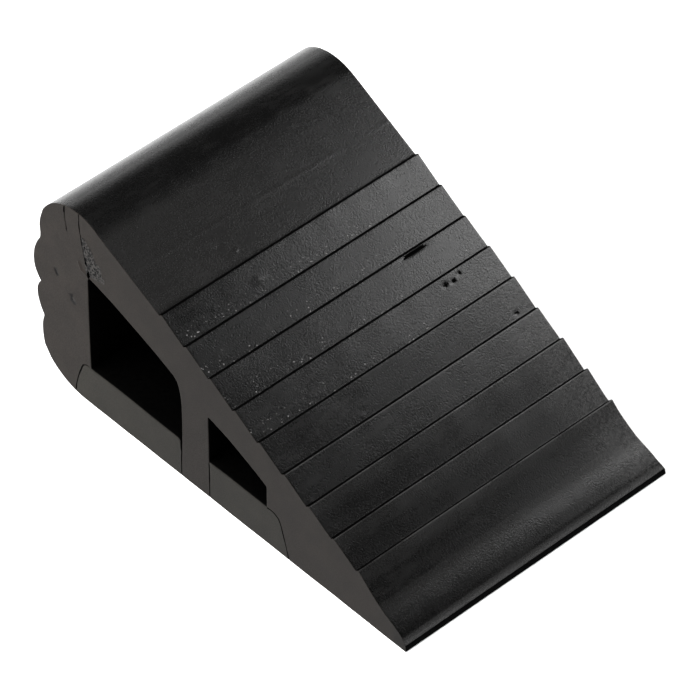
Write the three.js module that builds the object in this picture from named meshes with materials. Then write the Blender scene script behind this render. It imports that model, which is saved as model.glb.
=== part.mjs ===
// A moulded rubber wheel chock, laid up from five bonded sections.
// Millimetres. X runs from the heel (-) to the toe (+), Y across the wheel's path, +Z up.
// The origin is the middle of the base, on the surface that the chock stands on.
// Every section is a side profile in X and Z, carried straight across the width.
import * as THREE from "three";

// Overall size
const LENGTH = 254;
const WIDTH = 160;
const HEIGHT = 119;
const HEEL_X = -LENGTH / 2;
const TOE_X = LENGTH / 2;

// Crown: an arc that the ramp leaves at a tangent
const CROWN_RADIUS = 27.7;
const CROWN_X = HEEL_X + 33;
const CROWN_Z = HEIGHT - CROWN_RADIUS;

// Ramp: a plain upper panel, then saw-tooth treads, then a shallow hollow before the toe
const RAMP_DEGREES = 26.8;
const TREAD_COUNT = 9;
const TREAD_PITCH = 18.4; // along the ramp
const TREADS_START = 49; // along the ramp, from the crown's tangent point
const TREAD_LIP = 2.3; // how far a tread's upper edge stands proud
const TREAD_UNDERCUT = 0.2; // how far the surface dips at the foot of a riser
const RISER_RUN = 0.8; // a riser's lean, along the ramp
const HOLLOW_DEPTH = 3.2;
const TOE_DEPTH = 3.8; // how far the toe's top lies below the ramp line
const TOE_FACE_HEIGHT = 3.6;

// Windows, rib and base strips
const WINDOW_BACK_X = -87.7;
const WINDOW_FRONT_X = 33.7;
const WINDOW_APEX_Z = 82.4;
const WINDOW_FRONT_Z = 36.5; // top of the small window's front edge
const RIB_BACK_X = -24.6;
const RIB_WIDTH = 19.2;
const RIB_FRONT_X = RIB_BACK_X + RIB_WIDTH;
const RIB_TOP_BACK_Z = 61.5; // where the rib runs into the ramp slab, behind and in front
const RIB_TOP_FRONT_Z = 52;
const RIB_FILLET = 18; // height of the rounded corner at the rib's top
const WINDOW_ARCH = 2.6; // how far the control points of the windows' arched tops stand up
const STRIP_HEIGHT = 23.2;
const STRIP_ROUND = 3; // rounding of a strip's top corners
const BACK_TUCK = 12; // how far the rear strip is let into the heel, at the base
const FRONT_TUCK = 15.2; // how far the front strip is let into the toe, at the base
const TUCK_SLANT = 5.4; // how much further a let-in end reaches at the base than at its top

// Heel: a rounded base corner, then lobes down the back with valleys between them
const HEEL_ROUND_RADIUS = 34;
const HEEL_ROUND_START_X = HEEL_X + HEEL_ROUND_RADIUS;
const HEEL_ROUND_END_X = HEEL_X + 5.2;
const LOBES = [
  { crestX: HEEL_X + 4, crestZ: 26, valleyX: HEEL_X + 5.7, valleyZ: 34.6 },
  { crestX: HEEL_X + 1.5, crestZ: 49, valleyX: HEEL_X + 4.5, valleyZ: 56 },
  { crestX: HEEL_X, crestZ: 67, valleyX: HEEL_X + 5.4, valleyZ: 85.5 },
];

// Parting lines between the bonded sections
const PARTING_GAP = 0.3;
const CROWN_BACK_DEGREES = -88; // angles round the crown, off the vertical
const FILLER_BACK_DEGREES = -17.5;
const FILLER_FRONT_DEGREES = 3;

const RUBBER = { ramp: 0x1a1a1a, section: 0x1d1c1a, strip: 0x21201e };

const at = (x, z) => new THREE.Vector2(x, z);
const WINDOW_APEX = at(WINDOW_BACK_X + 0.9, WINDOW_APEX_Z);
const FILLER_TIP_BACK = at(WINDOW_BACK_X - 0.6, WINDOW_APEX_Z + 3.6);
const FILLER_TIP_FRONT = at(WINDOW_BACK_X + 1.2, WINDOW_APEX_Z + 3.6);
const FILLER_KNEE_BACK = at(WINDOW_BACK_X - 12.3, WINDOW_APEX_Z + 17.1);
const FILLER_KNEE_FRONT = at(WINDOW_BACK_X - 3.3, WINDOW_APEX_Z + 19.6);

// A point on the crown's arc, from its angle off the vertical; positive leans towards the toe.
function onCrown(degrees, radius = CROWN_RADIUS) {
  const angle = THREE.MathUtils.degToRad(degrees);
  return at(CROWN_X + radius * Math.sin(angle), CROWN_Z + radius * Math.cos(angle));
}

function crownArc(fromDegrees, toDegrees, steps) {
  return Array.from({ length: steps + 1 }, (_, i) =>
    onCrown(THREE.MathUtils.lerp(fromDegrees, toDegrees, i / steps)),
  );
}

// A point near the ramp, from its distance down the ramp line and its height over that line.
function onRamp(distance, height) {
  const angle = THREE.MathUtils.degToRad(RAMP_DEGREES);
  const down = at(Math.cos(angle), -Math.sin(angle));
  return onCrown(RAMP_DEGREES, CROWN_RADIUS + height).addScaledVector(down, distance);
}

// Extends a profile by a curve with one control point.
function curveTo(points, control, end, steps = 6) {
  const curve = new THREE.QuadraticBezierCurve(points.at(-1), control, end);
  points.push(...curve.getPoints(steps).slice(1));
}

// Extends a profile by a window's top, arched a little over the straight line to its end.
function archTo(points, end) {
  const middle = points.at(-1).clone().lerp(end, 0.5);
  curveTo(points, at(middle.x, middle.y + WINDOW_ARCH), end, 4);
}

// Extends a profile by a rounded lobe, out to its crest and back into the valley after it.
function lobeTo(points, { crestX, crestZ, valleyX, valleyZ }) {
  const chordX = (points.at(-1).x + valleyX) / 2;
  curveTo(points, at(2 * crestX - chordX, crestZ), at(valleyX, valleyZ));
}

// Points moved by half a parting gap, towards the heel (-1) or the toe (+1).
function clearOf(points, side) {
  return points.map((point) => at(point.x + (side * PARTING_GAP) / 2, point.y));
}

function heelRoundHeight(x) {
  const back = Math.max(HEEL_ROUND_START_X - x, 0);
  return HEEL_ROUND_RADIUS - Math.sqrt(HEEL_ROUND_RADIUS ** 2 - back ** 2);
}

// The round under the heel, from one X to its end further back.
function heelRound(fromX, steps) {
  return Array.from({ length: steps }, (_, i) => {
    const x = THREE.MathUtils.lerp(fromX, HEEL_ROUND_END_X, (i + 1) / steps);
    return at(x, heelRoundHeight(x));
  });
}

// The rear strip's let-in end, from its top down to the base, grown outwards by a clearance.
function rearStripEnd(clearance) {
  const baseX = WINDOW_BACK_X - BACK_TUCK - clearance;
  const shoulderX = baseX + TUCK_SLANT;
  return [
    at(shoulderX + STRIP_ROUND, STRIP_HEIGHT + clearance),
    at(shoulderX, STRIP_HEIGHT - STRIP_ROUND),
    at(baseX, heelRoundHeight(baseX)),
  ];
}

// The front strip's let-in end, from the base up to its top, grown outwards by a clearance.
function frontStripEnd(clearance) {
  const baseX = WINDOW_FRONT_X + FRONT_TUCK + clearance;
  const shoulderX = baseX - TUCK_SLANT;
  return [
    at(baseX, 0),
    at(shoulderX, STRIP_HEIGHT - 1.5 * STRIP_ROUND),
    at(shoulderX - STRIP_ROUND / 2, STRIP_HEIGHT - STRIP_ROUND / 2),
    at(shoulderX - 1.5 * STRIP_ROUND, STRIP_HEIGHT + clearance),
  ];
}

// One bonded section of the chock, from its side profile.
function section(name, profile, color) {
  const shape = new THREE.Shape(profile);
  const geometry = new THREE.ExtrudeGeometry(shape, { depth: WIDTH, bevelEnabled: false });
  geometry.rotateX(Math.PI / 2);
  geometry.translate(0, WIDTH / 2, 0);
  const material = new THREE.MeshStandardMaterial({ color, roughness: 0.6, metalness: 0 });
  const mesh = new THREE.Mesh(geometry, material);
  mesh.name = name;
  return mesh;
}

// Back section: the crown's back half, the lobes, and a pocket for the rear strip's end.
function heelBlock() {
  const parting = [FILLER_KNEE_BACK, FILLER_TIP_BACK, WINDOW_APEX];
  const profile = clearOf([onCrown(FILLER_BACK_DEGREES), ...parting], -1);
  profile.push(at(WINDOW_BACK_X, WINDOW_APEX_Z - 2));
  profile.push(at(WINDOW_BACK_X, STRIP_HEIGHT + PARTING_GAP));
  profile.push(...rearStripEnd(PARTING_GAP));
  profile.push(...heelRound(profile.at(-1).x, 7));
  LOBES.forEach((lobe) => lobeTo(profile, lobe));
  profile.push(...crownArc(CROWN_BACK_DEGREES, FILLER_BACK_DEGREES, 10).slice(0, -1));
  return section("heel_block", profile, RUBBER.section);
}

// Narrow wedge between the heel section and the top of the ramp section.
function crownFiller() {
  const crown = crownArc(FILLER_BACK_DEGREES, FILLER_FRONT_DEGREES, 4);
  const rampSide = clearOf([crown.pop(), FILLER_KNEE_FRONT, FILLER_TIP_FRONT], -1);
  const heelSide = clearOf([FILLER_TIP_BACK, FILLER_KNEE_BACK, crown.shift()], 1);
  return section("crown_filler", [...crown, ...rampSide, ...heelSide], RUBBER.section);
}

// Outer surface of the ramp section, from the crown down to the toe's lower edge.
function rampSurface() {
  const points = crownArc(FILLER_FRONT_DEGREES, RAMP_DEGREES, 4);
  points[0].x += PARTING_GAP / 2;
  for (let i = 0; i < TREAD_COUNT; i++) {
    const start = TREADS_START + i * TREAD_PITCH;
    points.push(onRamp(start, -TREAD_UNDERCUT), onRamp(start + RISER_RUN, TREAD_LIP));
  }
  const hollow = TREADS_START + TREAD_COUNT * TREAD_PITCH;
  curveTo(points, onRamp(hollow - 8, -HOLLOW_DEPTH / 2), onRamp(hollow + 3, -HOLLOW_DEPTH));
  points.push(onRamp(hollow + TREAD_PITCH, -TOE_DEPTH));
  curveTo(points, at(TOE_X - 0.6, 6.2), at(TOE_X - 0.3, TOE_FACE_HEIGHT), 4);
  points.push(at(TOE_X, 0));
  return points;
}

// Ramp slab, rib and toe in one section, open at the base where the strips close the windows.
function rampBody() {
  const parting = clearOf([WINDOW_APEX, FILLER_TIP_FRONT, FILLER_KNEE_FRONT], 1);
  const profile = [
    ...rampSurface(),
    ...frontStripEnd(PARTING_GAP),
    at(WINDOW_FRONT_X, STRIP_HEIGHT + PARTING_GAP),
    at(WINDOW_FRONT_X, WINDOW_FRONT_Z),
  ];
  archTo(profile, at(RIB_FRONT_X, RIB_TOP_FRONT_Z));
  profile.push(at(RIB_FRONT_X, 0), at(RIB_BACK_X, 0));
  profile.push(at(RIB_BACK_X + 0.6, RIB_TOP_BACK_Z - RIB_FILLET));
  curveTo(profile, at(RIB_BACK_X, RIB_TOP_BACK_Z - 2.5), at(RIB_BACK_X - 4.4, RIB_TOP_BACK_Z), 4);
  archTo(profile, parting[0]);
  profile.push(...parting.slice(1));
  return section("ramp_body", profile, RUBBER.ramp);
}

// Closes the large window at the base, between the heel and the rib.
function rearBaseStrip() {
  const frontX = RIB_BACK_X - PARTING_GAP;
  const blendX = HEEL_ROUND_START_X - STRIP_ROUND;
  const profile = [at(HEEL_ROUND_START_X, 0), at(frontX, 0)];
  profile.push(at(frontX, STRIP_HEIGHT - STRIP_ROUND));
  curveTo(profile, at(frontX, STRIP_HEIGHT), at(frontX - STRIP_ROUND, STRIP_HEIGHT), 4);
  profile.push(...rearStripEnd(0), at(blendX, heelRoundHeight(blendX)));
  return section("rear_base_strip", profile, RUBBER.strip);
}

// Closes the small window at the base, between the rib and the toe.
function frontBaseStrip() {
  const backX = RIB_FRONT_X + PARTING_GAP;
  const profile = [at(backX, 0), ...frontStripEnd(0), at(backX, STRIP_HEIGHT)];
  return section("front_base_strip", profile, RUBBER.strip);
}

const chock = new THREE.Group();
chock.add(heelBlock(), crownFiller(), rampBody(), rearBaseStrip(), frontBaseStrip());

export default chock;
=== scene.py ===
"""The looks of a moulded rubber wheel chock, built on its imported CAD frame.

Metres. X runs from the heel (-) to the toe (+), Y across the wheel's path, +Z up.
Each bonded section takes its side profile from its own CAD node. The profile is smoothed, carried
across the width in fine rows, worn a little, and closed by the cut rubber of the side faces.
"""

import math

import bpy
from mathutils import Matrix, Vector, geometry, noise


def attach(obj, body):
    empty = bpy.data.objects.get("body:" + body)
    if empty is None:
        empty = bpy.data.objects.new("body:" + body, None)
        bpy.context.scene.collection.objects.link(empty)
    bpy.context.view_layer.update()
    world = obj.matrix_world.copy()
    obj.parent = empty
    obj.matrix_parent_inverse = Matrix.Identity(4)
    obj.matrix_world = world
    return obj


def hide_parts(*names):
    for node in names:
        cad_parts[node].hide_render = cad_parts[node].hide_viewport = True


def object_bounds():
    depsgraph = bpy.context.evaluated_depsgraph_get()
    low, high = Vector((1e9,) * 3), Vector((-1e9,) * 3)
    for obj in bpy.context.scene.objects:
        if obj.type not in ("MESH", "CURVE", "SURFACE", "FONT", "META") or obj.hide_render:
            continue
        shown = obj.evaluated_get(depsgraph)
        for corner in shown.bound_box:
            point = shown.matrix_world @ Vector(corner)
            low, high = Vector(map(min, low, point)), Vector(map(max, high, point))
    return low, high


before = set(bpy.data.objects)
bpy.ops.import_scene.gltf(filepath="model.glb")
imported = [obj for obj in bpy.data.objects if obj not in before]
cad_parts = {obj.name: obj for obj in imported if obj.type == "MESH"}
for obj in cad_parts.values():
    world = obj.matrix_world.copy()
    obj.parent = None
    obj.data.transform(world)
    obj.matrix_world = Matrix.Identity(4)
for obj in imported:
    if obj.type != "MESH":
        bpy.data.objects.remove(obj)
cad_low, cad_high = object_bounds()

MM = 0.001
BODY = "root"
NEAR_Y = cad_low.y
FAR_Y = cad_high.y
HEEL_X = cad_low.x
TOE_X = cad_high.x

# Ramp and crown, as in the CAD
RAMP_ANGLE = math.radians(26.8)
CROWN_RADIUS = 27.7 * MM
CROWN_X = HEEL_X + 33 * MM
CROWN_Z = cad_high.z - CROWN_RADIUS
TREADS_START = 49 * MM
TREAD_PITCH = 18.4 * MM
TREAD_COUNT = 9
TREADS_END = TREADS_START + TREAD_COUNT * TREAD_PITCH
APEX_X = HEEL_X + 40.2 * MM  # the large window's highest point
APEX_Z = 82.4 * MM
TOE_FACE_HEIGHT = 3.8 * MM
TOE_LIP_LENGTH = 2.0 * MM  # of the CAD's lip, along X
TOE_ARC_LEAD = 2.4 * MM  # how much further up the ramp the real lip's arc starts
DOWN = Vector((math.cos(RAMP_ANGLE), 0, -math.sin(RAMP_ANGLE)))
OUT = Vector((math.sin(RAMP_ANGLE), 0, math.cos(RAMP_ANGLE)))

SECTION_TINT = (1.24, 1.0, 0.82)
STRIP_TINT = (1.09, 1.0, 0.80)

# How finely the sections are meshed
FINE_STEP = 0.8 * MM
COARSE_STEP = 2.5 * MM
FINE_ROW = 1.1 * MM
COARSE_ROW = 2.0 * MM
EDGE_ROWS = 4
CAP_STEP = 2.5 * MM
FLASH_STEP = 0.55 * MM
CORNER_DEGREES = 50
TOE_CORNER_DEGREES = 25
CORNER_STEPS = 4
TOUCHING = 0.6 * MM  # outlines this close belong to bonded faces
# The last slot is painted shade: near-black rubber put where shade falls.
MOULDED, CUT, PAINTED_SHADE = range(3)  # the material slots of every section

# Edges
LIP_ROUND = 0.55 * MM
FOOT_ROUND = 0.24 * MM
CORNER_ROUND = 0.6 * MM
SIDE_EDGE = 0.15 * MM
CROWN_EDGE = 0.3 * MM
HEEL_EDGE = 0.9 * MM
WINDOW_EDGE = 0.7 * MM
SEAM_EDGE = 0.4 * MM
HIDDEN_SEAM = 0.02 * MM
SEAM_REACH = 1.3 * MM  # how far past an edge its neighbour is looked for
STRIP_TOP_EDGE = 1.2 * MM
CREASE_END_Z = 101 * MM  # below this the heel and the filler have fused
FLASH_LENGTH = 22 * MM  # rough rubber squeezed out of the seam above the large window
FLASH_WIDTH = 16 * MM
FLASH_RISE = 0.9 * MM
FLASH_BEAD = [Vector((-6.6, 5.6)), Vector((-4.8, 2.4)), Vector((-0.5, 1.6)), Vector((-4.8, 2.4))]

# The photograph's view, from a camera fit to the photo's straight edges: degrees, metres and lens in mm
VIEW_AZIMUTH = 47.01
VIEW_ELEVATION = 44.48
VIEW_ROLL = 0.21
VIEW_DISTANCE = 2.62
VIEW_TARGET = Vector((16.2, -11.8, 65.5)) * MM
VIEW_LENS = 294.2

# Studio light: a band of light round a dark room, and suns given as azimuth, elevation and energy
ROOM_BAND = (0.08, 0.16, 0.26, 0.34)  # height of the view's direction where it starts and ends
ROOM_LIGHT = 1.1
SUN_SPREAD = 60
SUNS = ((-20, 60, 6.5), (-30, 35, 3))
LAMP_AIM = Vector((0, 0, 0.06))
# Softboxes aimed at the object: azimuth, elevation, distance, width and height, power
SOFTBOXES = {
    "key": (158, 43, 0.55, (0.2, 0.14), 0.65),
    "low": (135, 25, 0.55, (0.15, 0.15), 0.15),
    "back": (238, 20, 0.8, (1.4, 0.3), 1.2),
}

# Marks on the ramp, placed against the tread lines: the tread, with 0 for the plain panel
# above them, the share of the way down it and Y as a share of the half width, then in millimetres
# half length down, half width across and rise
MARKS = (
    (0, 0.3, -0.94, 3.5, 1, 0.2),
    (0, 0.75, -0.42, 3, 4.5, -0.1),
    (0, 0.87, -0.35, 1.5, 1.5, 0.3),
    (1, 0.6, -0.35, 3, 5.5, 0.2),
    (1, 0.6, -0.7, 1.2, 1.2, 0.2),
    (3, 0.12, 0.57, 1.3, 13, -0.5),
    (4, 0.26, 0.6, 1.6, 2.2, -0.5),
    (4, 0.3, 0.66, 1.3, 1.6, -0.5),
    (4, 0.2, 0.72, 1.2, 1.4, -0.5),
    (5, 0.9, -0.35, 1.2, 1.2, 0.3),
    (5, 0.85, 0.87, 1.4, 1.4, -0.5),
    (6, 0.95, -0.96, 1.2, 1.2, 0.3),
)
MARKS_REACH = 13 * MM
# Painted shade fills the grooves between treads; the first ones get a wider, blacker band.
BLACK_GROOVES = 8  # the first grooves between treads are wider and blacker than the rest
# Dark nicks in the side faces, placed from the top corner of the large window, in
# millimetres: X and Z of both ends, half width
NICKS = (
    (-24, -11, -23, -13, 1.4),
    (-14, -19.5, -11, -23.5, 0.3),
)

# Wear: the share of each tread's lip that is left, from the top tread down
LIP_LEFT = (0.9, 0.6, 0.45, 0.7, 0.9, 0.75, 1.15, 1.3, 1.15)
TOE_FLARE = 3.6 * MM  # how far the toe spreads at the far side
FOOT_FLARE = 1.9 * MM  # and how much more at its lower edge
FLARE_START_X = TOE_X - 35 * MM


def smooth(value, start, end):
    """0 before start, 1 after end, and an even blend between them."""
    t = min(max((value - start) / (end - start), 0.0), 1.0)
    return t * t * (3 - 2 * t)


def hump(value, centre, half_width):
    """1 at the centre, falling smoothly to 0 at half_width on either side."""
    return 1 - smooth(abs(value - centre), 0, half_width)


def blend(a, b, share):
    return a + (b - a) * share


def wavy(x, y, z, size):
    """Smooth noise from about -1 to 1, with features about one size across."""
    return noise.noise(Vector((x, y, z)) / size)


def ramp_coordinates(x, z):
    """Distance down the ramp from the crown's tangent point, and height over the ramp line.
    Round the crown the distance is negative and follows the arc."""
    dx, dz = x - CROWN_X, z - CROWN_Z
    distance = dx * DOWN.x + dz * DOWN.z
    if distance >= 0:
        return distance, dx * OUT.x + dz * OUT.z - CROWN_RADIUS
    angle = math.atan2(dx, dz)
    return (angle - RAMP_ANGLE) * CROWN_RADIUS, math.hypot(dx, dz) - CROWN_RADIUS


# ---- Side profiles: lists of 2-D vectors, X and Z, counter-clockwise seen from the near side ----


def cad_outline(node):
    """The outline of a CAD node's near side face."""
    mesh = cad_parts[node].data
    following = {}
    for face in mesh.polygons:
        corners = [mesh.vertices[i].co for i in face.vertices]
        if any(corner.y > NEAR_Y + TOUCHING for corner in corners):
            continue
        ends = [(round(corner.x, 6), round(corner.z, 6)) for corner in corners]
        for start, end in zip(ends, ends[1:] + ends[:1]):
            if (end, start) in following:
                del following[end, start]
            else:
                following[start, end] = True
    steps = dict(following.keys())
    points = [next(iter(steps))]
    while steps[points[-1]] != points[0]:
        points.append(steps[points[-1]])
    return [Vector(point) for point in points]


def nearest_on(outline, point):
    """The point of an outline that is nearest to a point."""
    best, best_distance = None, math.inf
    for start, end in zip(outline, outline[1:] + outline[:1]):
        along = end - start
        share = min(max((point - start).dot(along) / along.length_squared, 0), 1)
        found = start + along * share
        distance = (found - point).length
        if distance < best_distance:
            best, best_distance = found, distance
    return best, best_distance


def is_corner(points, i):
    """True where an outline turns sharply."""
    before = points[i] - points[i - 1]
    after = points[(i + 1) % len(points)] - points[i]
    on_toe = points[i].x > TOE_X - 3 * MM
    return math.degrees(before.angle(after)) > (TOE_CORNER_DEGREES if on_toe else CORNER_DEGREES)


def corner_round(point):
    """The rounding of a sharp corner: the treads' lips, their feet, and any other corner."""
    distance, height = ramp_coordinates(*point)
    on_treads = TREADS_START - MM < distance < TREADS_END and abs(height) < 4 * MM
    if not on_treads:
        return CORNER_ROUND
    return LIP_ROUND if height > MM else FOOT_ROUND


def is_fine(point):
    """True on the ramp, the crown and the crown's creases, which are meshed finely."""
    at_creases = point.y > APEX_Z - MM and abs(point.x - APEX_X) < 16 * MM
    return at_creases or ramp_coordinates(*point)[1] > -5 * MM


def curve(start, start_pull, end_pull, end, steps):
    """Points of a cubic curve after its start, up to and with its end."""
    return [
        start * (1 - t) ** 3 + start_pull * 3 * t * (1 - t) ** 2 + end_pull * 3 * t**2 * (1 - t) + end * t**3
        for t in ((i + 1) / steps for i in range(steps))
    ]


def with_toe_arc(points):
    """An outline whose toe lip is left out, and starts further up, so that one arc can replace it."""
    result = []
    for point in points:
        on_lip = TOE_FACE_HEIGHT < point.y < 9 * MM
        if on_lip and point.x > TOE_X - TOE_LIP_LENGTH:
            continue
        if on_lip and point.x > TOE_X - TOE_LIP_LENGTH - MM:
            point = point - Vector((DOWN.x, DOWN.z)) * TOE_ARC_LEAD
        result.append(point)
    return result


def mirrored(tangent, chord):
    """The tangent at the other end of an arc."""
    return chord * (2 * tangent.dot(chord)) - tangent


def refined(points, neighbours):
    """An outline with its gentle bends smoothed, its free corners rounded, and closely spaced points."""
    points = with_toe_arc(points)
    count = len(points)
    sharp = [is_corner(points, i) for i in range(count)]
    cut = []
    for i, point in enumerate(points):
        bonded = any(nearest_on(other, point)[1] < TOUCHING for other in neighbours)
        cut.append(0 if bonded or not sharp[i] else corner_round(point))
    tangents = [(points[(i + 1) % count] - points[i - 1]).normalized() for i in range(count)]
    result = []
    for i, point in enumerate(points):
        j = (i + 1) % count
        end = points[j]
        along = (end - point).normalized()
        first = point + along * cut[i]
        last = end - along * cut[j]
        length = (last - first).length
        step = FINE_STEP if is_fine((first + last) / 2) else COARSE_STEP
        leave = along if sharp[i] else tangents[i]
        arrive = along if sharp[j] else tangents[j]
        if sharp[i] and not sharp[j]:
            leave = mirrored(arrive, along)
        if sharp[j] and not sharp[i]:
            arrive = mirrored(leave, along)
        if cut[i] == 0:
            result.append(point.copy())
        pulls = (first + leave * length / 3, last - arrive * length / 3)
        result.extend(curve(first, *pulls, last, max(1, round(length / step))))
        if cut[j] == 0:
            result.pop()
            continue
        onward = (points[(j + 1) % count] - end).normalized()
        next_start = end + onward * cut[j]
        pulls = (blend(last, end, 0.6), end + onward * cut[j] * 0.4)
        result.extend(curve(last, *pulls, next_start, CORNER_STEPS))
    return result


def meeting_neighbours(points, node):
    """An outline whose bonded stretches meet the sections made before, or go halfway to the others."""
    moved = []
    for point in points:
        target = point
        for other, outline in outlines.items():
            if other == node:
                continue
            found, distance = nearest_on(profiles.get(other, outline), point)
            if distance < TOUCHING:
                target = blend(point, found, 1 if other in profiles else 0.5)
        moved.append(target)
    return moved


def edge_normals(points):
    """The outward normal of each step of an outline."""
    normals = []
    for start, end in zip(points, points[1:] + points[:1]):
        along = (end - start).normalized()
        normals.append(Vector((along.y, -along.x)))
    return normals


def inset_point(point, normal_a, depth_a, normal_b, depth_b):
    """Where two edges that meet at a point meet after each is moved inwards by its own depth."""
    cross = normal_a.x * normal_b.y - normal_a.y * normal_b.x
    if abs(cross) < 0.1:
        return point - (normal_a + normal_b).normalized() * (depth_a + depth_b) / 2
    x = (-depth_a * normal_b.y + depth_b * normal_a.y) / cross
    y = (-depth_b * normal_a.x + depth_a * normal_b.x) / cross
    return point + Vector((x, y))


# ---- Wear and shape across the width ----


def lip_share(distance, y):
    """How much of a tread's lip is left at a place."""
    tread = min(max(int((distance - TREADS_START + MM) / TREAD_PITCH), 0), TREAD_COUNT - 1)
    towards_near = smooth(y, NEAR_Y, NEAR_Y + 40 * MM)
    share = blend(0.75, LIP_LEFT[tread], towards_near)
    return share * (1 + 0.06 * wavy(tread, y, 0, 14 * MM))


def placed_mark(tread, down, across, half_length, half_width, rise):
    """A mark's distance down the ramp and Y in metres, then its half sizes and rise as listed."""
    start = TREADS_START + (tread - 1) * TREAD_PITCH if tread else 0
    length = TREAD_PITCH if tread else TREADS_START
    return start + down * length, across * FAR_Y, half_length, half_width, rise


placed_marks = [placed_mark(*mark) for mark in MARKS]


def marks_at(distance, y):
    """The share and the rise of every mark that reaches a place on the ramp."""
    found = []
    for place, across, half_length, half_width, rise in placed_marks:
        down_it, across_it = distance - place, y - across
        if abs(down_it) < MARKS_REACH and abs(across_it) < MARKS_REACH:
            reach = math.hypot(down_it / (half_length * MM), across_it / (half_width * MM))
            found.append((hump(reach, 0, 1), rise * MM))
    return found


def in_pit(point, y):
    """True in the deep marks of the ramp, which get painted shade to look black."""
    distance, height = ramp_coordinates(*point)
    deep = [share for share, rise in marks_at(distance, y) if rise < -0.4 * MM and abs(height) < 4 * MM]
    return max(deep, default=0) > 0.35


def surface_height(distance, y):
    """Small unevenness of the moulded skin of the ramp and crown."""
    height = 0.05 * MM * wavy(distance, y * 0.5, 0.1, 34 * MM)
    height += 0.012 * MM * wavy(distance, y * 0.7, 0.3, 9 * MM)
    unbroken = smooth(wavy(0, y, 0.5, 22 * MM), -0.5, 0.2)
    height += 0.08 * MM * hump(distance - y * 0.02, 27.4 * MM, 0.9 * MM) * unbroken
    return height + sum(share * rise for share, rise in marks_at(distance, y))


def flash_share(x, z):
    """1 in the middle of the rough flash above the large window, and 0 outside it."""
    up = (z - APEX_Z - 1.5 * MM) / FLASH_LENGTH
    if not 0 < up < 1:
        return 0
    seam_x = blend(APEX_X - 0.5 * MM, APEX_X - 3.5 * MM, up)
    width = FLASH_WIDTH * (1 - up) ** 0.6 * smooth(up, 0, 0.15)
    ragged = 1 + 0.3 * wavy(x, 7, z, 4 * MM)
    return smooth(x, seam_x - 1.5 * MM, seam_x) * smooth(x, seam_x + width * ragged, seam_x + 0.6 * width)


def nick_share(x, z):
    """1 in the middle of the nicks in the side faces."""
    share = 0
    place = Vector((x - APEX_X, z - APEX_Z)) / MM
    for *ends, half_width in NICKS:
        distance = nearest_on([Vector(ends[:2]), Vector(ends[2:])], place)[1]
        share = max(share, hump(distance, 0, half_width))
    return share


def near_flash(x, z):
    """True where a side face is meshed finely."""
    on_flash = abs(x - APEX_X) < FLASH_WIDTH and 0 < z - APEX_Z < FLASH_LENGTH + 2 * MM
    return on_flash or nick_share(x, z) > 0


def side_rise(x, z):
    """How far the cut rubber of a side face stands out: the rough flash and the bead below it."""
    torn = abs(wavy(x, 0, z, 1.3 * MM)) + 0.5 * abs(wavy(x, 3, z, 0.7 * MM))
    rise = FLASH_RISE * flash_share(x, z) * torn
    from_apex = Vector((x - APEX_X, z - APEX_Z)) / MM
    bead = nearest_on(FLASH_BEAD, from_apex)[1]
    return rise + 0.7 * MM * hump(bead, 0, 1.2) - 0.3 * MM * nick_share(x, z)


def torn_share(x, y, z):
    """1 where a vertex of a side face lies on the rough flash, -1 where it lies in a dark nick."""
    return smooth(abs(y), FAR_Y - 2 * MM, FAR_Y - MM) * (flash_share(x, z) - 1.5 * nick_share(x, z))


def worn(x, y, z):
    """A point of a section's plain shape, moved to where the worn and slightly uneven shape has it."""
    distance, height = ramp_coordinates(x, z)
    if height > -6 * MM and distance > -70 * MM:
        rise = surface_height(distance, y) * smooth(height, -6 * MM, -4 * MM)
        if TREADS_START - MM < distance < TREADS_END and height > 0:
            rise += height * (lip_share(distance, y) - 1)
        if distance >= 0:
            x += OUT.x * rise
            z += OUT.z * rise
        else:
            x += (x - CROWN_X) / CROWN_RADIUS * rise
            z += (z - CROWN_Z) / CROWN_RADIUS * rise
    flare = TOE_FLARE * max(x - FLARE_START_X, 0) / (TOE_X - FLARE_START_X)
    flare += FOOT_FLARE * smooth(x, TOE_X - 25 * MM, TOE_X - 5 * MM) * smooth(z, 9 * MM, 2 * MM)
    y += flare * smooth(y, 0, FAR_Y)
    side = smooth(abs(y), FAR_Y - 4 * MM, FAR_Y - MM) * math.copysign(1, y)
    y += side * 0.12 * MM * wavy(x, side, z, 16 * MM)
    if x < APEX_X + 15 * MM:
        y += side * side_rise(x, z)
    return Vector((x, y, max(z, 0)))


# ---- Sections ----


def neighbour_at(node, point, normal):
    """The name of the section that lies just beyond a point of a node's outline, if any."""
    beyond = point + normal * SEAM_REACH
    for other, outline in outlines.items():
        if other != node and inside(outline, beyond):
            return other
    return None


def edge_radius(node, point, normal):
    """The rounding of a side edge at a step of a section's outline."""
    neighbour = neighbour_at(node, point, normal)
    if neighbour:
        radius = SEAM_EDGE * (1 + 0.6 * wavy(point.x, 0, point.y, 5 * MM))
        if {node, neighbour} == {"heel_block", "crown_filler"}:
            radius *= 1.5 * smooth(point.y, CREASE_END_Z, CREASE_END_Z + 5 * MM)
        return max(radius, HIDDEN_SEAM)
    if is_inner(point):
        return STRIP_TOP_EDGE if normal.y > 0.8 else WINDOW_EDGE
    uneven = 1 + 0.3 * wavy(point.x, 1, point.y, 8 * MM)
    if point.x < HEEL_X + 8 * MM:
        return HEEL_EDGE * uneven
    if ramp_coordinates(*point)[0] < 0:
        return CROWN_EDGE * uneven
    return SIDE_EDGE * uneven


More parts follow.
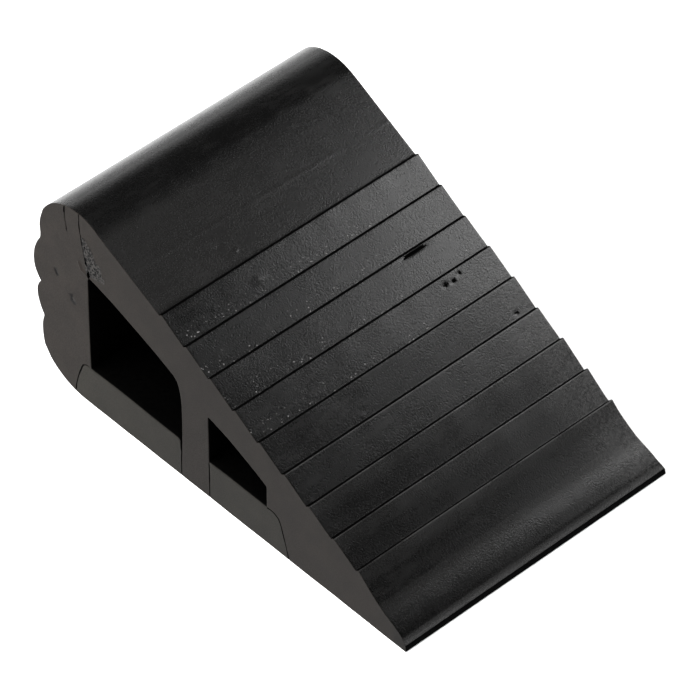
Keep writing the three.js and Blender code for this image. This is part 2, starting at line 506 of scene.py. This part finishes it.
def make_section(name, node, fine=False, strip=False):
    """One bonded section: its refined profile carried across the width, with cut side faces."""
    others = [outline for other, outline in outlines.items() if other != node]
    profile = meeting_neighbours(refined(outlines[node], others), node)
    profiles[node] = profile
    count = len(profile)
    normals = edge_normals(profile)
    middles = [(point + profile[(i + 1) % count]) / 2 for i, point in enumerate(profile)]
    radii = [edge_radius(node, middle, normal) for middle, normal in zip(middles, normals)]
    bonded = [neighbour_at(node, middle, normal) is not None for middle, normal in zip(middles, normals)]
    skins = [skin_at(middle, normal) for middle, normal in zip(middles, normals)]

    def ring(share):
        """The profile inset by a share of each edge's own rounding."""
        return [
            inset_point(point, normals[i - 1], radii[i - 1] * share, normals[i], radii[i] * share)
            for i, point in enumerate(profile)
        ]

    depths = [max(radii[i - 1], radii[i]) for i in range(count)]
    row_step = FINE_ROW if fine else COARSE_ROW
    middle_rows = round((FAR_Y - NEAR_Y) / row_step)
    vertices = []
    edge = []
    for k in range(EDGE_ROWS):
        angle = math.pi / 2 * k / EDGE_ROWS
        edge.append((ring(1 - math.sin(angle)), 1 - math.cos(angle)))
    rows = [(points, [NEAR_Y + depth * share for depth in depths]) for points, share in edge]
    for k in range(middle_rows + 1):
        share = k / middle_rows
        rows.append((profile, [blend(NEAR_Y + depth, FAR_Y - depth, share) for depth in depths]))
    rows += [(points, [FAR_Y - depth * share for depth in depths]) for points, share in reversed(edge)]
    for points, ys in rows:
        vertices.extend(worn(point.x, y, point.y) for point, y in zip(points, ys))
    faces = []
    materials = []
    for row in range(len(rows) - 1):
        from_side = min(row, len(rows) - 2 - row)
        for i in range(count):
            j = (i + 1) % count
            a, b = row * count + i, row * count + j
            faces.append((a, b, b + count, a + count))
            # Open seams between sections get painted shade; hidden seams get the cut rubber.
            if bonded[i]:
                materials.append(CUT if radii[i] == HIDDEN_SEAM else PAINTED_SHADE)
            elif from_side < (EDGE_ROWS // 2 if skins[i] == PAINTED_SHADE else EDGE_ROWS):
                materials.append(CUT)
            else:
                # Deep pits get painted shade.
                pitted = fine and in_pit(middles[i], rows[row][1][i])
                materials.append(PAINTED_SHADE if pitted else skins[i])
    add_side_face(vertices, faces, rows[0][0], NEAR_Y, 0, False)
    add_side_face(vertices, faces, rows[-1][0], FAR_Y, (len(rows) - 1) * count, True)
    materials += [CUT] * (len(faces) - len(materials))

    mesh = bpy.data.meshes.new(name)
    mesh.from_pydata(vertices, [], faces)
    for material in (skin_material, strip_material if strip else cut_material, painted_shade_material):
        mesh.materials.append(material)
    mesh.polygons.foreach_set("material_index", materials)
    mesh.polygons.foreach_set("use_smooth", [True] * len(faces))
    mesh.set_sharp_from_angle(angle=math.radians(40))
    torn = mesh.attributes.new("torn", "FLOAT", "POINT")
    torn.data.foreach_set("value", [torn_share(*vertex) for vertex in vertices])
    mesh.validate()
    piece = bpy.data.objects.new(name, mesh)
    bpy.context.scene.collection.objects.link(piece)
    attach(piece, BODY)
    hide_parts(node)
    return piece


def is_inner(point):
    """True on the walls of the windows."""
    distance, height = ramp_coordinates(*point)
    return height < -12 * MM and point.y > 20 * MM and point.x > HEEL_X + 25 * MM


def to_next_tread(distance):
    """How far it is down the ramp to the nearest foot of a tread's riser."""
    return abs((distance - TREADS_START + TREAD_PITCH / 2) % TREAD_PITCH - TREAD_PITCH / 2)


def skin_at(point, normal):
    """The material slot of a stretch of an outline."""
    toe_face = point.x > TOE_X - 1.2 * MM and point.y < TOE_FACE_HEIGHT
    distance, height = ramp_coordinates(*point)
    on_treads = TREADS_START - MM < distance < TREADS_END - TREAD_PITCH / 2 and abs(height) < 4 * MM
    upper = distance < TREADS_START + (BLACK_GROOVES - 0.5) * TREAD_PITCH
    in_riser = on_treads and normal.dot(Vector((DOWN.x, DOWN.z))) < (-0.35 if upper else -0.6)
    foot = FOOT_ROUND * (1 if upper else 0.8)
    in_foot = on_treads and height < foot and to_next_tread(distance) < foot
    # Painted shade on the windows' walls, the toe's face and the treads' risers and feet.
    if is_inner(point) or toe_face or in_riser or in_foot:
        return PAINTED_SHADE
    return CUT if normal.y < -0.95 and point.y < MM else MOULDED


def inside(outline, point):
    """True if a point lies within an outline."""
    found = False
    for start, end in zip(outline, outline[1:] + outline[:1]):
        if (start.y > point.y) != (end.y > point.y):
            crossing = start.x + (point.y - start.y) / (end.y - start.y) * (end.x - start.x)
            if point.x < crossing:
                found = not found
    return found


def add_side_face(vertices, faces, outline, y, first, far):
    """Closes a section's side with an even mesh over its outline."""
    low_x, high_x = min(p.x for p in outline), max(p.x for p in outline)
    low_z, high_z = min(p.y for p in outline), max(p.y for p in outline)
    extra = []
    for step, on_flash in ((CAP_STEP, False), (FLASH_STEP, True)):
        for i in range(1, int((high_x - low_x) / step) + 1):
            for k in range(1, int((high_z - low_z) / step) + 1):
                point = Vector((low_x + i * step, low_z + (k + 0.5 * (i % 2)) * step))
                if near_flash(*point) != on_flash or not inside(outline, point):
                    continue
                if nearest_on(outline, point)[1] > 0.6 * step:
                    extra.append(point)
    border = list(range(len(outline)))
    made = geometry.delaunay_2d_cdt(list(outline) + extra, [], [border], 1, 1e-7)
    points, triangles, sources = made[0], made[2], made[3]
    numbers = []
    for point, source in zip(points, sources):
        old = min(source) if source else None
        if old is not None and old < len(outline):
            numbers.append(first + old)
            continue
        numbers.append(len(vertices))
        vertices.append(worn(point.x, y, point.y))
    for triangle in triangles:
        corners = [numbers[i] for i in triangle]
        faces.append(tuple(corners if not far else reversed(corners)))


# ---- Materials ----


class Shader:
    """A material's node tree. Each call makes a node, sets its inputs, and returns an output."""

    def __init__(self, name):
        self.material = bpy.data.materials.new(name)
        self.material.use_nodes = True
        self.tree = self.material.node_tree
        self.tree.nodes.clear()
        self.place = self.node("TexCoord", "Object")

    def node(self, kind, output=0, inputs=None, **settings):
        made = self.tree.nodes.new("ShaderNode" + kind)
        for key, value in settings.items():
            setattr(made, key, value)
        for key, value in (inputs or {}).items():
            socket = made.inputs[key]
            if isinstance(value, bpy.types.NodeSocket):
                self.tree.links.new(value, socket)
            else:
                socket.default_value = value
        return made.outputs[output]

    def math(self, operation, a, b=0.0):
        return self.node("Math", inputs={0: a, 1: b}, operation=operation)

    def dot(self, along):
        """How far the place lies along a unit vector."""
        return self.node("VectorMath", "Value", {0: self.place, 1: along}, operation="DOT_PRODUCT")

    def point(self, x, y, z):
        return self.node("CombineXYZ", inputs={0: x, 1: y, 2: z})

    def noise(self, vector, scale, detail=4.0, roughness=0.5):
        inputs = {"Vector": vector, "Scale": scale, "Detail": detail, "Roughness": roughness}
        return self.node("TexNoise", "Fac", inputs)

    def ramp(self, value, low, high, low_to=0.0, high_to=1.0):
        inputs = {"Value": value, "From Min": low, "From Max": high, "To Min": low_to, "To Max": high_to}
        return self.node("MapRange", "Result", inputs, interpolation_type="SMOOTHSTEP")

    def mix(self, share, a, b):
        return self.node("Mix", 2, {0: share, 6: a, 7: b}, data_type="RGBA")

    def finish(self, **sockets):
        surface = self.tree.nodes.new("ShaderNodeBsdfPrincipled")
        for key, value in sockets.items():
            socket = surface.inputs[key.replace("_", " ")]
            if isinstance(value, bpy.types.NodeSocket):
                self.tree.links.new(value, socket)
            else:
                socket.default_value = value
        end = self.tree.nodes.new("ShaderNodeOutputMaterial")
        self.tree.links.new(surface.outputs["BSDF"], end.inputs["Surface"])
        return self.material


def grey(level, warmth=0.0):
    return (level * (1 + warmth), level, level * (1 - warmth), 1)


def tinted(level, tint):
    return tuple(level * share for share in tint) + (1,)


def moulded_skin():
    """Near-black satin rubber: fine grain, faint streaks across the width, dust, small pits, painted glints
    on the upper treads and towards the far side, and a painted highlight on the lower treads' lips.
    """
    s = Shader("moulded_skin")
    tangent_point = CROWN_X * DOWN.x + CROWN_Z * DOWN.z
    down = s.math("SUBTRACT", s.dot(DOWN), tangent_point)
    across = s.node("SeparateXYZ", "Y", {0: s.place})
    lifted = s.dot(OUT)
    streaks = s.noise(s.point(down, s.math("MULTIPLY", across, 0.22), lifted), 420, 2, 0.5)
    smudges = s.noise(s.point(down, s.math("MULTIPLY", across, 0.6), lifted), 45, 4, 0.6)
    grain = s.noise(s.place, 1300, 2, 0.6)

    along_tread = s.math("FRACT", s.math("DIVIDE", s.math("SUBTRACT", down, TREADS_START), TREAD_PITCH))
    upper_treads = s.math("MULTIPLY", s.ramp(down, 48 * MM, 55 * MM), s.ramp(down, 138 * MM, 120 * MM))
    # Bright specks on the upper treads, in small dents of the bump: painted glints.
    glint_zone = s.math("MULTIPLY", upper_treads, s.ramp(along_tread, 0.45, 0.9))
    specks = s.node("TexVoronoi", "Distance", {"Vector": s.place, "Scale": 520, "Randomness": 1.0})
    few = s.ramp(s.noise(s.place, 160, 3, 0.5), 0.44, 0.56)
    glint_pits = s.math("MULTIPLY", s.math("MULTIPLY", s.ramp(specks, 0.24, 0.12), few), glint_zone)

    dust = s.math("MULTIPLY", s.ramp(streaks, 0.45, 0.75), s.ramp(smudges, 0.4, 0.65))
    color = s.mix(dust, grey(0.001, 0.03), grey(0.0045, 0.03))
    slab = s.math("MULTIPLY", s.ramp(down, 0, 8 * MM), s.ramp(down, 50 * MM, 46 * MM))
    color = s.mix(s.math("MULTIPLY", slab, s.ramp(across, FAR_Y, NEAR_Y, 0.2, 1.0)), color, grey(0.007, 0.03))
    # Painted glints: the bright specks.
    color = s.mix(glint_pits, color, grey(0.12, 0.02))
    # Painted highlight: a lighter line along the lips of the lower treads.
    lower_treads = s.math("MULTIPLY", s.ramp(down, 120 * MM, 160 * MM), s.ramp(down, 213 * MM, 210 * MM))
    lips = s.math("MULTIPLY", s.ramp(along_tread, 0.1, 0.07), s.ramp(smudges, 0.35, 0.55))
    color = s.mix(s.math("MULTIPLY", lips, lower_treads), color, grey(0.035, 0.02))
    upper_half = s.math("MULTIPLY", s.ramp(along_tread, 0.55, 0.2), s.ramp(down, 145 * MM, 165 * MM))
    color = s.mix(s.math("MULTIPLY", upper_half, 0.5), color, grey(0.009, 0.02))
    # Painted glints: pale fine specks towards the far side of the lower ramp.
    far_glints = s.math("MULTIPLY", s.ramp(across, 45 * MM, FAR_Y), s.ramp(down, 100 * MM, 125 * MM))
    glint_grain = s.ramp(s.noise(s.place, 700, 3, 0.7), 0.42, 0.6)
    color = s.mix(s.math("MULTIPLY", far_glints, glint_grain), color, grey(0.02, 0.02))
    rough = s.math("ADD", s.ramp(smudges, 0.3, 0.7, 0.265, 0.288), s.ramp(streaks, 0.3, 0.7, -0.006, 0.008))
    rough = s.math("ADD", rough, s.ramp(grain, 0.3, 0.7, -0.018, 0.018))
    patches = s.noise(s.point(down, across, lifted), 24, 3, 0.6)
    rough = s.math("ADD", rough, s.ramp(patches, 0.35, 0.65, -0.012, 0.012))
    behind = s.ramp(s.node("SeparateXYZ", "X", {0: s.place}), CROWN_X, CROWN_X - 8 * MM)
    below = s.ramp(s.node("SeparateXYZ", "Z", {0: s.place}), CROWN_Z + 0.5 * CROWN_RADIUS, CROWN_Z)
    on_heel = s.math("MULTIPLY", behind, below)
    rough = s.math("ADD", rough, s.math("MULTIPLY", on_heel, s.ramp(smudges, 0.3, 0.7, 0.16, 0.28)))
    height = s.math("SUBTRACT", grain, s.math("MULTIPLY", glint_pits, 1.5))
    bump = s.node("Bump", "Normal", {"Strength": 0.65, "Distance": 0.15 * MM, "Height": height})
    return s.finish(Base_Color=color, Roughness=rough, Normal=bump, Specular_IOR_Level=0.5)


def cut_rubber(name, base, tint):
    """Matte, slightly warm grey rubber of a cut face, finely mottled, darker towards the toe, with painted
    light and shade on the rough flash and painted shade in the nicks.
    """
    s = Shader(name)
    mottle = s.noise(s.place, 90, 6, 0.6)
    broad = s.noise(s.place, 18, 3, 0.5)
    grain = s.noise(s.place, 1500, 3, 0.6)
    fine = s.noise(s.place, 420, 3, 0.6)
    share = s.math("MULTIPLY", s.ramp(mottle, 0.3, 0.7), s.ramp(broad, 0.25, 0.75, 0.5, 1.0))
    share = s.math("ADD", share, s.ramp(fine, 0.3, 0.7, -0.3, 0.3))
    clean = s.mix(share, tinted(base * 0.82, tint), tinted(base * 1.18, tint))
    shade = s.ramp(s.node("SeparateXYZ", "X", {0: s.place}), HEEL_X, 0)
    color = s.mix(s.math("MULTIPLY", shade, 0.36), clean, grey(0.001))
    torn = s.node("Attribute", "Fac", attribute_name="torn")
    # Painted light and shade on the rough flash: bright and dark specks for its lumps catching and losing the
    # light.
    light = s.ramp(s.noise(s.place, 950, 3, 0.6), 0.47, 0.56)
    flash_light_and_shade = s.mix(light, grey(base * 0.03), grey(base * 3, 0.06))
    color = s.mix(s.ramp(torn, 0.05, 0.4), color, flash_light_and_shade)
    # Painted shade in the nicks.
    color = s.mix(s.ramp(torn, 0, -0.4), color, grey(base * 0.1))
    at_toe = s.ramp(s.node("SeparateXYZ", "X", {0: s.place}), TOE_X - 10 * MM, TOE_X - 6 * MM, 0, 0.55)
    color = s.mix(at_toe, color, grey(0.001))
    height = s.math("ADD", s.math("MULTIPLY", grain, 0.6), s.math("MULTIPLY", mottle, 0.4))
    bump = s.node("Bump", "Normal", {"Strength": 0.6, "Distance": 0.2 * MM, "Height": height})
    rough = s.ramp(grain, 0.3, 0.7, 0.72, 0.86)
    return s.finish(Base_Color=color, Roughness=rough, Normal=bump, Specular_IOR_Level=0.15)


def painted_shade_rubber():
    """Painted shade: dull near-black rubber that barely reflects, on the windows' walls, the seams, the
    treads' risers and feet, the deep pits and the toe's face.
    """
    s = Shader("painted_shade_rubber")
    grain = s.noise(s.place, 500, 5, 0.6)
    color = s.mix(s.ramp(grain, 0.3, 0.7), grey(0.0001), grey(0.0003, 0.1))
    bump = s.node("Bump", "Normal", {"Strength": 0.4, "Distance": 0.2 * MM, "Height": grain})
    rough = s.ramp(grain, 0.3, 0.7, 0.6, 0.75)
    return s.finish(Base_Color=color, Roughness=rough, Normal=bump, Specular_IOR_Level=0.01)


def floor_paper():
    """Plain pale paper."""
    s = Shader("floor_paper")
    fibres = s.noise(s.place, 900, 3, 0.6)
    color = s.mix(fibres, (0.83, 0.83, 0.83, 1), (0.85, 0.85, 0.85, 1))
    return s.finish(Base_Color=color, Roughness=0.9, Specular_IOR_Level=0.1)


# ---- Studio ----


def make_floor():
    size = 30.0
    mesh = bpy.data.meshes.new("floor")
    corners = [(-size, -size, 0), (size, -size, 0), (size, size, 0), (-size, size, 0)]
    mesh.from_pydata(corners, [], [(0, 1, 2, 3)])
    mesh.materials.append(floor_paper())
    floor = bpy.data.objects.new("floor", mesh)
    bpy.context.scene.collection.objects.link(floor)


def direction(azimuth, elevation):
    """A unit vector from the object: azimuth 0 towards -Y and 90 towards +X, in degrees."""
    a, e = math.radians(azimuth), math.radians(elevation)
    return Vector((math.sin(a) * math.cos(e), -math.cos(a) * math.cos(e), math.sin(e)))


def make_camera():
    """The photograph's view: from the toe and the near side, well above the object."""
    back = direction(VIEW_AZIMUTH, VIEW_ELEVATION)
    data = bpy.data.cameras.new("camera")
    data.sensor_width = 36
    data.lens = VIEW_LENS
    data.clip_start, data.clip_end = 0.1, 100
    camera = bpy.data.objects.new("camera", data)
    bpy.context.scene.collection.objects.link(camera)
    place = Matrix.Translation(VIEW_TARGET + back * VIEW_DISTANCE)
    facing = (-back).to_track_quat("-Z", "Y").to_matrix().to_4x4()
    roll = Matrix.Rotation(math.radians(VIEW_ROLL), 4, "Z")
    camera.matrix_world = place @ facing @ roll
    bpy.context.scene.camera = camera


def softbox(name, place, facing, size, power):
    data = bpy.data.lights.new(name, "AREA")
    data.shape = "RECTANGLE"
    data.size, data.size_y = size
    data.energy = power
    lamp = bpy.data.objects.new(name, data)
    lamp.location = place
    lamp.rotation_mode = "QUATERNION"
    lamp.rotation_quaternion = facing.to_track_quat("-Z", "Y")
    lamp.visible_camera = False
    bpy.context.scene.collection.objects.link(lamp)


def make_world():
    """A dark room with a band of light above the horizon."""
    world = bpy.data.worlds.new("studio")
    world.use_nodes = True
    tree = world.node_tree
    tree.nodes.clear()
    place = tree.nodes.new("ShaderNodeTexCoord")
    parts = tree.nodes.new("ShaderNodeSeparateXYZ")
    tree.links.new(place.outputs["Generated"], parts.inputs[0])

    def step(start, end):
        """0 below a height, 1 above it."""
        spread = tree.nodes.new("ShaderNodeMapRange")
        spread.interpolation_type = "SMOOTHSTEP"
        spread.inputs["From Min"].default_value = start
        spread.inputs["From Max"].default_value = end
        tree.links.new(parts.outputs["Z"], spread.inputs["Value"])
        return spread.outputs["Result"]

    band = tree.nodes.new("ShaderNodeMath")
    band.operation = "SUBTRACT"
    tree.links.new(step(*ROOM_BAND[:2]), band.inputs[0])
    tree.links.new(step(*ROOM_BAND[2:]), band.inputs[1])
    light = tree.nodes.new("ShaderNodeMath")
    light.operation = "MULTIPLY"
    light.inputs[1].default_value = ROOM_LIGHT
    tree.links.new(band.outputs[0], light.inputs[0])
    background = tree.nodes.new("ShaderNodeBackground")
    tree.links.new(light.outputs[0], background.inputs["Strength"])
    end = tree.nodes.new("ShaderNodeOutputWorld")
    tree.links.new(background.outputs[0], end.inputs["Surface"])
    bpy.context.scene.world = world


def soft_sun(name, azimuth, elevation, energy):
    """Wide light from the near side, which keeps the floor white."""
    data = bpy.data.lights.new(name, "SUN")
    data.energy = energy
    data.angle = math.radians(SUN_SPREAD)
    lamp = bpy.data.objects.new(name, data)
    lamp.rotation_mode = "QUATERNION"
    lamp.rotation_quaternion = (-direction(azimuth, elevation)).to_track_quat("-Z", "Y")
    bpy.context.scene.collection.objects.link(lamp)


outlines = {node: cad_outline(node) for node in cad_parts}
profiles = {}  # the finished profiles of the sections made so far
skin_material = moulded_skin()
cut_material = cut_rubber("cut_rubber", 0.009, SECTION_TINT)
strip_material = cut_rubber("cut_strip", 0.0122, STRIP_TINT)
painted_shade_material = painted_shade_rubber()

make_section("heel_rubber", "heel_block")
make_section("filler_rubber", "crown_filler")
make_section("ramp_rubber", "ramp_body", fine=True)
make_section("rear_strip_rubber", "rear_base_strip", strip=True)
make_section("front_strip_rubber", "front_base_strip", strip=True)

make_floor()
make_world()
make_camera()
for name, (azimuth, elevation, distance, size, power) in SOFTBOXES.items():
    away = direction(azimuth, elevation)
    softbox(name, LAMP_AIM + away * distance, -away, size, power)
for i, sun in enumerate(SUNS):
    soft_sun(f"sun_{i + 1}", *sun)
bpy.context.scene.view_settings.view_transform = "Standard"
